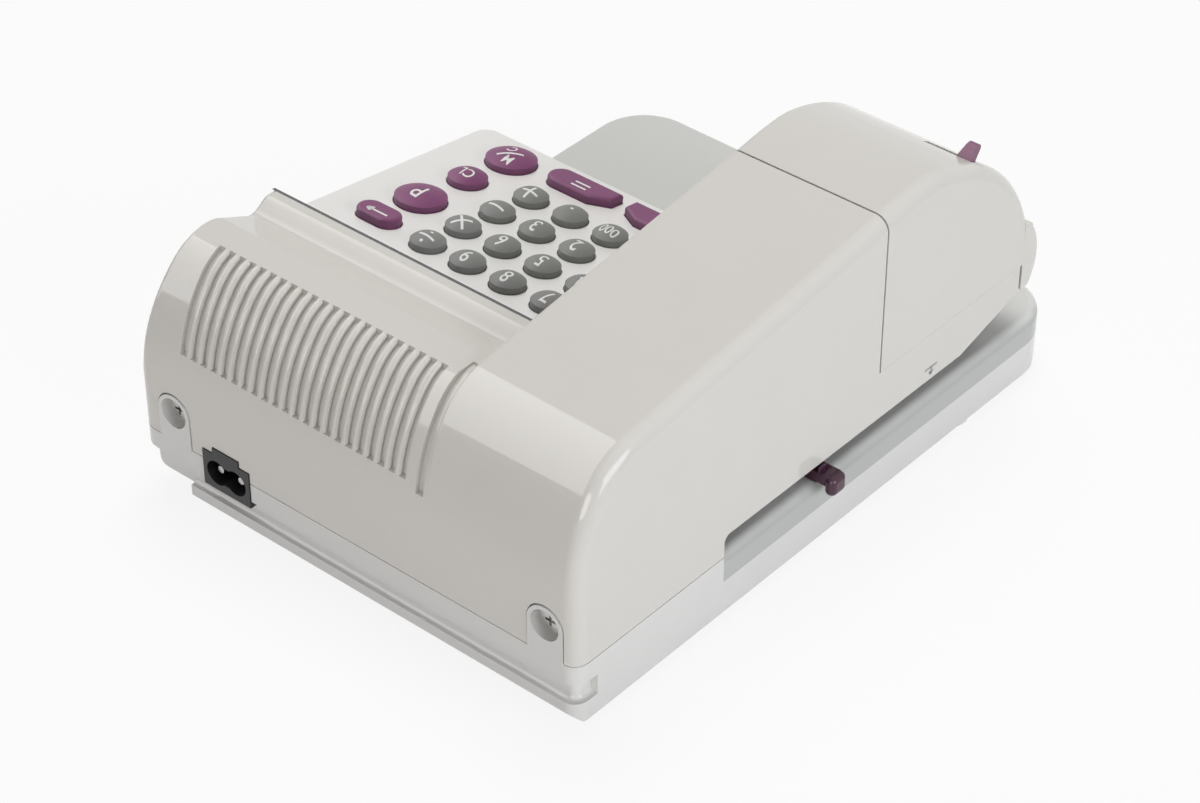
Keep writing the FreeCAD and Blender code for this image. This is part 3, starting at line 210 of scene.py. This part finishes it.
# Pieces seen from outside get welded copies, so that their curves shade smoothly
smoothing = {"weld": 0.0005, "sharpAngle": 25.0, "keySharpAngle": 72.0, "flatAngle": 0.4, "bevel": 1.0,
             "bevelAngle": 34.0, "bevelSegments": 5}
welded = ["base_tray", "table_plate", "upper_housing", "keypad_panel", "mains_inlet", "print_cover",
          "release_lever", "paper_guide", "case_screws", "rubber_feet", "print_wheel", "pinch_roller", "feed_roller"]
welded += keyNodes


def addPiece(name, mesh, material, body):
    piece = bpy.data.objects.new(name, mesh)
    scene.collection.objects.link(piece)
    mesh.materials.clear()
    mesh.materials.append(materials[material])
    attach(piece, body)
    return piece


def plainMesh(holder):
    # the shape that an object's modifiers or text give, as a mesh of its own
    graph = bpy.context.evaluated_depsgraph_get()
    mesh = bpy.data.meshes.new_from_object(holder.evaluated_get(graph))
    holder.modifiers.clear()
    bpy.data.objects.remove(holder)
    return mesh


def flatAreas(mesh):
    # for each face, the area of the flat region it belongs to
    beside = {}
    for face in mesh.polygons:
        for key in face.edge_keys:
            beside.setdefault(key, []).append(face.index)
    near = math.cos(math.radians(smoothing["flatAngle"]))
    normals = [face.normal.copy() for face in mesh.polygons]
    areas = [0.0] * len(normals)
    for first, normal in enumerate(normals):
        if areas[first]:
            continue
        found = {first}
        waiting = [first]
        while waiting:
            for key in mesh.polygons[waiting.pop()].edge_keys:
                for other in beside[key]:
                    if other not in found and normal.dot(normals[other]) > near:
                        found.add(other)
                        waiting.append(other)
        whole = sum(mesh.polygons[index].area for index in found)
        for index in found:
            areas[index] = whole
    return areas


def evenNormals(mesh, sharpAngle, known):
    # each corner leans to the widest face it meets smoothly, so that flat faces stay flat beside a round;
    # points of a drawn round have a known normal
    areas = flatAreas(mesh)
    meeting = {}
    for face in mesh.polygons:
        points = [mesh.vertices[index].co for index in face.vertices]
        for turn, index in enumerate(face.vertices):
            ahead = points[(turn + 1) % len(points)] - points[turn]
            behind = points[turn - 1] - points[turn]
            share = ahead.angle(behind, 0.0) * areas[face.index]
            meeting.setdefault(index, []).append((face.normal.copy(), share))
    near = math.cos(math.radians(sharpAngle))
    corners = [None] * len(mesh.loops)
    for face in mesh.polygons:
        for loop, index in zip(face.loop_indices, face.vertices):
            lean = Vector()
            for normal, share in meeting[index]:
                if normal.dot(face.normal) > near:
                    lean += normal * share
            corners[loop] = known.get(index, lean.normalized())
    mesh.normals_split_custom_set(corners)


def softEdges(mesh, width):
    holder = bpy.data.objects.new("softEdges", mesh)
    scene.collection.objects.link(holder)
    modifier = holder.modifiers.new("softEdges", "BEVEL")
    modifier.width = width * mm
    modifier.segments = smoothing["bevelSegments"]
    modifier.limit_method = "ANGLE"
    modifier.angle_limit = math.radians(smoothing["bevelAngle"])
    return plainMesh(holder)


# The table's rim beside the arm: the part's small round there is drawn larger
rim = {"drawn": 0.8, "wanted": 3.6, "corner": 18.5, "fullTo": 60.0, "goneBy": 100.0, "slack": 0.02}


def softRim(mesh):
    # moves the points of the round, and gives the normal of each
    low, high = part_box("table_plate")
    turnAt = Vector((low.x + rim["corner"] * mm, low.y + rim["corner"] * mm))
    reach = (rim["drawn"] + rim["slack"]) * mm
    known = {}
    for vertex in mesh.vertices:
        here = vertex.co.xy
        across = (here.x - low.x) / mm
        drop = high.z - vertex.co.z
        if across > rim["goneBy"] or drop > reach:
            continue
        if here.x < turnAt.x and here.y < turnAt.y:
            away = (here - turnAt).normalized()
            inset = rim["corner"] * mm - (here - turnAt).length
        elif here.x - low.x < here.y - low.y:
            away = Vector((-1, 0))
            inset = here.x - low.x
        else:
            away = Vector((0, -1))
            inset = here.y - low.y
        if inset > reach:
            continue
        share = min(1.0, (rim["goneBy"] - across) / (rim["goneBy"] - rim["fullTo"]))
        grow = (rim["wanted"] / rim["drawn"] - 1.0) * share
        outward = away * (1.0 - inset / (rim["drawn"] * mm))
        known[vertex.index] = Vector((outward.x, outward.y, 1.0 - drop / (rim["drawn"] * mm))).normalized()
        vertex.co.xy = here - away * inset * grow
        vertex.co.z -= drop * grow
    return known


# The arm's round edge beside the keypad, drawn larger too; the round fades out at both ends
armEdge = {"across": 57.0, "drawn": 1.5, "wanted": 3.0, "lean": 6.8, "from": (38.0, 48.0), "to": (126.0, 137.0),
           "lowest": 63.6, "slack": 0.01}


def softArmEdge(mesh):
    lean = math.radians(armEdge["lean"])
    outward = Vector((0, math.sin(lean), math.cos(lean)))
    for vertex in mesh.vertices:
        across = (vertex.co.x - housingLow.x) / mm
        back = (housingHigh.y - vertex.co.y) / mm
        up = (vertex.co.z - tableZ) / mm
        inset = armEdge["across"] - across
        onRound = -armEdge["slack"] < inset < armEdge["drawn"] + armEdge["slack"]
        if not onRound or up <= armEdge["lowest"]:
            continue
        starts = (back - armEdge["from"][0]) / (armEdge["from"][1] - armEdge["from"][0])
        ends = (armEdge["to"][1] - back) / (armEdge["to"][1] - armEdge["to"][0])
        share = max(0.0, min(1.0, starts, ends))
        grow = (armEdge["wanted"] / armEdge["drawn"] - 1.0) * share
        left = max(0.0, armEdge["drawn"] - inset)
        drop = armEdge["drawn"] - math.sqrt(max(0.0, armEdge["drawn"] ** 2 - left ** 2))
        vertex.co.x -= inset * grow * mm
        vertex.co -= outward * drop * grow * mm


def weldedCopy(node):
    mesh = frame["nodes"][node].data.copy()
    work = bmesh.new()
    work.from_mesh(mesh)
    bmesh.ops.remove_doubles(work, verts=work.verts, dist=smoothing["weld"] * mm)
    work.to_mesh(mesh)
    work.free()
    mesh.shade_smooth()
    known = softRim(mesh) if node == "table_plate" else {}
    if node == "upper_housing":
        softArmEdge(mesh)
    sharpAngle = smoothing["sharpAngle"]
    if node in keyNodes:
        mesh = softEdges(mesh, smoothing["bevel"])
        sharpAngle = smoothing["keySharpAngle"]
    evenNormals(mesh, sharpAngle, known)
    piece = addPiece(node + "_smooth", mesh, dress[node], nodeBodies[node])
    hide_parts(node)


for node, finishName in dress.items():
    if node in welded:
        weldedCopy(node)
    else:
        mesh = frame["nodes"][node].data
        mesh.materials.clear()
        mesh.materials.append(materials[finishName])
print("CAD nodes dressed:", len(dress))

# Round ribs between the vent grooves, swept along the hump
vents = {"first": 65.5, "pitch": 4.219, "ribs": 21, "radius": 1.12, "proud": 0.2, "bottom": 34.9, "topBack": 19.4,
         "flat": 26.0, "bendRadius": 50.0, "bendAngle": 50.0, "crestRadius": 18.2, "steps": 14,
         "ringPoints": 14, "sharpAngle": 50.0}


def arcPoint(middle, radius, angle):
    return middle[0] - radius * math.cos(angle), middle[1] + radius * math.sin(angle)


def humpLine(inset):
    # side view of the hump from the groove's foot to its head, moved in by inset
    points = []
    radius = vents["bendRadius"]
    bendMiddle = (radius, vents["flat"])
    low = math.asin((vents["bottom"] - vents["flat"]) / radius)
    turned = math.radians(90 - vents["bendAngle"])
    for step in range(vents["steps"]):
        angle = low + (turned - low) * step / vents["steps"]
        points.append(arcPoint(bendMiddle, radius - inset, angle))
    crest = vents["crestRadius"]
    crestMiddle = arcPoint(bendMiddle, radius - crest, turned)
    last = math.acos((crestMiddle[0] - vents["topBack"]) / crest)
    for step in range(vents["steps"] + 1):
        angle = turned + (last - turned) * step / vents["steps"]
        points.append(arcPoint(crestMiddle, crest - inset, angle))
    return points


def ribTree(material):
    tree = bpy.data.node_groups.new("ventRibs", "GeometryNodeTree")
    tree.interface.new_socket("Geometry", in_out="INPUT", socket_type="NodeSocketGeometry")
    for name, kind in (("Ribs", "NodeSocketInt"), ("Pitch", "NodeSocketFloat"), ("Radius", "NodeSocketFloat")):
        tree.interface.new_socket(name, in_out="INPUT", socket_type=kind)
    tree.interface.new_socket("Geometry", in_out="OUTPUT", socket_type="NodeSocketGeometry")
    nodes = {}
    for key, kind in (("in", "NodeGroupInput"), ("path", "GeometryNodeMeshToCurve"),
                      ("ring", "GeometryNodeCurvePrimitiveCircle"), ("sweep", "GeometryNodeCurveToMesh"),
                      ("offset", "ShaderNodeCombineXYZ"), ("row", "GeometryNodeMeshLine"),
                      ("copies", "GeometryNodeInstanceOnPoints"), ("real", "GeometryNodeRealizeInstances"),
                      ("paint", "GeometryNodeSetMaterial"), ("out", "NodeGroupOutput")):
        nodes[key] = tree.nodes.new(kind)
    nodes["ring"].inputs["Resolution"].default_value = vents["ringPoints"]
    nodes["sweep"].inputs["Fill Caps"].default_value = True
    nodes["paint"].inputs["Material"].default_value = material
    for source, output, target, entry in (
            ("in", "Geometry", "path", "Mesh"), ("in", "Radius", "ring", "Radius"),
            ("path", "Curve", "sweep", "Curve"), ("ring", "Curve", "sweep", "Profile Curve"),
            ("in", "Pitch", "offset", "X"), ("in", "Ribs", "row", "Count"), ("offset", "Vector", "row", "Offset"),
            ("row", "Mesh", "copies", "Points"), ("sweep", "Mesh", "copies", "Instance"),
            ("copies", "Instances", "real", "Geometry"), ("real", "Geometry", "paint", "Geometry"),
            ("paint", "Geometry", "out", "Geometry")):
        tree.links.new(nodes[source].outputs[output], nodes[target].inputs[entry])
    return tree


def nodeMesh(name, mesh, tree, values):
    # runs a tree on a mesh and keeps the result as a plain mesh
    holder = bpy.data.objects.new(name, mesh)
    scene.collection.objects.link(holder)
    modifier = holder.modifiers.new(name, "NODES")
    modifier.node_group = tree
    for item in tree.interface.items_tree:
        if item.in_out == "INPUT" and item.name in values:
            modifier[item.identifier] = values[item.name]
    return plainMesh(holder)


ribInset = vents["radius"] - vents["proud"]
ribAcross = vents["first"] + vents["pitch"] / 2
ribLine = [place(ribAcross, back, up) for back, up in humpLine(ribInset)]
ribPath = bpy.data.meshes.new("ribPath")
ribPath.from_pydata(ribLine, [(index, index + 1) for index in range(len(ribLine) - 1)], [])
ribMesh = nodeMesh("ventRibs", ribPath, ribTree(materials["caseTop"]),
                   {"Ribs": vents["ribs"], "Pitch": vents["pitch"] * mm, "Radius": vents["radius"] * mm})
ribMesh.shade_smooth()
ribMesh.set_sharp_from_angle(angle=math.radians(vents["sharpAngle"]))
addPiece("vent_ribs", ribMesh, "caseTop", "case")
print("vent ribs swept:", vents["ribs"])

# Legends, laid on the keys: words with their height and shift in mm, or bars as x0, y0, x1, y1
legendMaking = {"digit": 5.3, "stroke": 0.85, "lift": 0.03, "longestEdge": 0.7, "rounds": 6, "bold": 0.010,
                "shift": (-0.5, 1.5), "narrow": 0.80, "fontSize": 1.38, "dropFrom": 20.0}
legends = {
    "key_triple_zero": [("000", 4.0, 0.0, 0.0)],
    "key_print": [("P", 6.8, 0.0, 0.0)],
    "key_clear": [("CL", 4.3, 0.0, 0.0)],
    "key_memory": [("M", 4.0, -1.5, 2.9), ("C", 4.0, 1.5, -2.9)],
}
for digit in "0123456789":
    legends["key_" + digit] = [(digit, legendMaking["digit"], 0.0, 0.0)]
strokes = {
    "key_divide": [(-3.0, 0.0, 3.0, 0.0), (-0.5, 2.4, 0.5, 2.4), (-0.5, -2.4, 0.5, -2.4)],
    "key_multiply": [(-2.4, -2.4, 2.4, 2.4), (-2.4, 2.4, 2.4, -2.4)],
    "key_minus": [(-3.0, 0.0, 3.0, 0.0)],
    "key_plus": [(-3.0, 0.0, 3.0, 0.0), (0.0, -3.0, 0.0, 3.0)],
    "key_point": [(-0.5, -1.2, 0.5, -1.2)],
    "key_memory": [(-3.3, -2.8, 3.3, 2.8)],
    "key_equals": [(-3.0, 1.2, 3.0, 1.2), (-3.0, -1.2, 3.0, -1.2)],
    "key_backspace": [(-4.0, 0.0, 4.0, 0.0), (4.2, 0.0, 2.2, 1.2), (4.2, 0.0, 2.2, -1.2),
                      (2.3, 1.1, 2.3, -1.1)],
}


def textMesh(words, size):
    curve = bpy.data.curves.new("legend", "FONT")
    curve.body = words
    curve.size = size * legendMaking["fontSize"] * mm  # capitals are about 0.72 of the font size
    curve.offset = legendMaking["bold"] * size * mm
    curve.align_x = "CENTER"
    curve.align_y = "CENTER"
    holder = bpy.data.objects.new("legend", curve)
    scene.collection.objects.link(holder)
    return plainMesh(holder)


def strokeCorners(x0, y0, x1, y1, width):
    along = Vector((x1 - x0, y1 - y0)).normalized()
    side = Vector((-along.y, along.x)) * width / 2
    start = Vector((x0, y0))
    end = Vector((x1, y1))
    return [(start - side) * mm, (end - side) * mm, (end + side) * mm, (start + side) * mm]


def keyTop(node):
    # the key in the keypad's own flat frame: its middle and a tree to drop points on
    flat = keypadPlace.inverted()
    mesh = frame["nodes"][node].data
    points = [flat @ vertex.co for vertex in mesh.vertices]
    tree = BVHTree.FromPolygons(points, [list(face.vertices) for face in mesh.polygons])
    xs = [point.x for point in points]
    ys = [point.y for point in points]
    return (min(xs) + max(xs)) / 2, (min(ys) + max(ys)) / 2, tree


def legend(node):
    middleX, middleY, tree = keyTop(node)
    work = bmesh.new()
    for words, size, shiftX, shiftY in legends.get(node, []):
        letters = textMesh(words, size)
        low = min(vertex.co.y for vertex in letters.vertices)
        high = max(vertex.co.y for vertex in letters.vertices)
        letters.transform(Matrix.Translation((shiftX * mm, shiftY * mm - (low + high) / 2, 0))
                          @ Matrix.Diagonal((legendMaking["narrow"], 1, 1, 1)))
        work.from_mesh(letters)
    for stroke in strokes.get(node, []):
        corners = strokeCorners(*stroke, legendMaking["stroke"])
        work.faces.new([work.verts.new((corner.x, corner.y, 0)) for corner in corners])
    bmesh.ops.triangulate(work, faces=work.faces)
    for cut in range(legendMaking["rounds"]):
        long = [edge for edge in work.edges if edge.calc_length() > legendMaking["longestEdge"] * mm]
        if not long:
            break
        bmesh.ops.subdivide_edges(work, edges=long, cuts=1, use_grid_fill=True)
        bmesh.ops.triangulate(work, faces=work.faces)
    for vertex in work.verts:
        above = Vector((middleX + vertex.co.x + legendMaking["shift"][0] * mm,
                        middleY + vertex.co.y + legendMaking["shift"][1] * mm, legendMaking["dropFrom"] * mm))
        hit = tree.ray_cast(above, Vector((0, 0, -1)))[0]
        vertex.co = keypadPlace @ (hit + Vector((0, 0, legendMaking["lift"] * mm)))
    bmesh.ops.recalc_face_normals(work, faces=work.faces)
    mesh = bpy.data.meshes.new(node + "_legend")
    work.to_mesh(mesh)
    work.free()
    mesh.shade_smooth()
    addPiece(node + "_legend", mesh, "legendWhite", nodeBodies[node])


legendKeys = sorted(set(legends) | set(strokes))
for node in legendKeys:
    legend(node)
print("legends laid:", len(legendKeys))

# Fin on the guide's stem, just outside the arm
fin = {"across": (-0.95, -0.15), "back": (108.9, 112.4), "up": (4.6, 6.9), "bevel": 0.25}


def finMesh():
    near = place(fin["across"][0], fin["back"][0], fin["up"][0])
    far = place(fin["across"][1], fin["back"][1], fin["up"][1])
    work = bmesh.new()
    bmesh.ops.create_cube(work, size=1.0)
    for vertex in work.verts:
        vertex.co = (near + far) / 2 + vertex.co * (far - near)
    bmesh.ops.recalc_face_normals(work, faces=work.faces)
    mesh = bpy.data.meshes.new("guide_fin")
    work.to_mesh(mesh)
    work.free()
    mesh.shade_smooth()
    return softEdges(mesh, fin["bevel"])


addPiece("guide_fin", finMesh(), "guidePlum", nodeBodies["paper_guide"])

# Plain arrow on the arm's side, pointing down to the slot: bars as back0, up0, back1, up1
arrow = {"dropFrom": -20.0, "back": 165.4, "up": 11.0, "width": 0.75, "lift": 0.03,
         "bars": [(-3.2, 1.0, 3.2, 1.0), (0.0, 1.0, 0.0, -1.4), (0.0, -1.7, 1.1, -0.4), (0.0, -1.7, -1.1, -0.4)]}


def arrowMesh():
    side = frame["nodes"]["upper_housing"].data
    points = [vertex.co for vertex in side.vertices]
    tree = BVHTree.FromPolygons(points, [list(face.vertices) for face in side.polygons])
    work = bmesh.new()
    for bar in arrow["bars"]:
        corners = []
        for corner in strokeCorners(*bar, arrow["width"]):
            start = place(arrow["dropFrom"], arrow["back"], arrow["up"]) + Vector((0, -corner.x, corner.y))
            hit = tree.ray_cast(start, Vector((1, 0, 0)))[0]
            corners.append(work.verts.new(hit - Vector((arrow["lift"] * mm, 0, 0))))
        work.faces.new(corners)
    mesh = bpy.data.meshes.new("slot_arrow")
    work.to_mesh(mesh)
    work.free()
    return mesh


addPiece("slot_arrow", arrowMesh(), "markGrey", nodeBodies["upper_housing"])
print("guide fin and arrow added")

# Pale floor and backdrop, seen by the camera as white
stage = {"reach": 3.0, "floorWhite": 0.86, "cameraShare": 0.87}


def seenWhite(start):
    # 1 for rays that look straight at the background, see it mirrored or see it through something clear
    return (start.node("ShaderNodeLightPath", output="Is Camera Ray")
            + start.node("ShaderNodeLightPath", output="Is Glossy Ray")
            + start.node("ShaderNodeLightPath", output="Is Transmission Ray"))


def stageMaterial():
    material = bpy.data.materials.new("paleFloor")
    material.use_nodes = True
    tree = material.node_tree
    tree.nodes.clear()
    start = Wire(tree)
    seen = seenWhite(start)
    matt = start.node("ShaderNodeBsdfDiffuse", sockets={"Color": [stage["floorWhite"]] * 3 + [1.0]})
    glow = start.node("ShaderNodeEmission", sockets={"Color": (1, 1, 1, 1), "Strength": 1.0})
    both = start.node("ShaderNodeMixShader", sockets={0: seen * stage["cameraShare"], 1: matt, 2: glow})
    end = tree.nodes.new("ShaderNodeOutputMaterial")
    both.into(end, "Surface")
    return material


reach = stage["reach"]
floorCorners = [(-reach, -reach, 0), (reach, -reach, 0), (reach, reach, 0), (-reach, reach, 0)]
floorMesh = bpy.data.meshes.new("floor")
floorMesh.from_pydata(floorCorners, [], [(0, 1, 2, 3)])
floorMesh.materials.append(stageMaterial())
floor = bpy.data.objects.new("floor", floorMesh)
scene.collection.objects.link(floor)

sky = {"light": 0.15, "white": 1.0}
world = bpy.data.worlds.new("studio")
scene.world = world
world.use_nodes = True
world.node_tree.nodes.clear()
start = Wire(world.node_tree)
seen = seenWhite(start)
soft = start.node("ShaderNodeBackground", sockets={"Color": (1, 1, 1, 1), "Strength": sky["light"]})
white = start.node("ShaderNodeBackground", sockets={"Color": (1, 1, 1, 1), "Strength": sky["white"]})
both = start.node("ShaderNodeMixShader", sockets={0: seen, 1: soft, 2: white})
both.into(world.node_tree.nodes.new("ShaderNodeOutputWorld"), "Surface")

# Soft boxes: place in m, what they face, size in m, power in W. The card lights nothing and is only mirrored in the
# case, and the top box is mirrored nowhere
lamps = {
    "card": {"from": (1.010, 0.474, 0.721), "to": (0.39, 0.114, 0.021), "roll": -41.0, "size": (1.9, 1.3),
             "power": 22.0, "tint": (1.0, 1.0, 1.0), "lights": False},
    "sideBox": {"from": (-1.25, 0.10, 0.45), "to": (0, 0, 0.05), "size": (1.0, 0.7), "power": 8.6,
                "tint": (0.94, 0.97, 1.0)},
    "topBox": {"from": (0.30, -0.35, 1.32), "to": (0, 0, 0.05), "size": (0.9, 0.9), "power": 12.4,
               "tint": (1.0, 0.99, 0.97), "mirrored": False},
    "rearBox": {"from": (-0.42, 1.40, 0.44), "to": (0, 0, 0.05), "size": (0.7, 0.5), "power": 4.8,
                "tint": (1.0, 0.97, 0.95)},
}
for name, lamp in lamps.items():
    light = bpy.data.lights.new(name, "AREA")
    light.shape = "RECTANGLE"
    light.size, light.size_y = lamp["size"]
    light.energy = lamp["power"]
    light.color = lamp["tint"]
    holder = bpy.data.objects.new(name, light)
    holder.location = lamp["from"]
    facing = (Vector(lamp["to"]) - Vector(lamp["from"])).to_track_quat("-Z", "Y")
    holder.rotation_euler = (facing @ Quaternion((0, 0, 1), math.radians(lamp.get("roll", 0.0)))).to_euler()
    holder.visible_diffuse = lamp.get("lights", True)
    holder.visible_glossy = lamp.get("mirrored", True)
    scene.collection.objects.link(holder)

# The camera looks down from behind the arm's corner
shot = {"from": (-0.54455, 0.6447, 0.6510), "along": (0.5172, -0.6038, -0.6065), "lens": 101.1, "sensor": 36.0}
camera = bpy.data.cameras.new("shot")
camera.lens = shot["lens"]
camera.sensor_width = shot["sensor"]
camera.sensor_fit = "HORIZONTAL"
cameraHolder = bpy.data.objects.new("shot", camera)
cameraHolder.location = shot["from"]
cameraHolder.rotation_euler = Vector(shot["along"]).to_track_quat("-Z", "Y").to_euler()
scene.collection.objects.link(cameraHolder)
scene.camera = cameraHolder
print("stage, lamps and camera set")
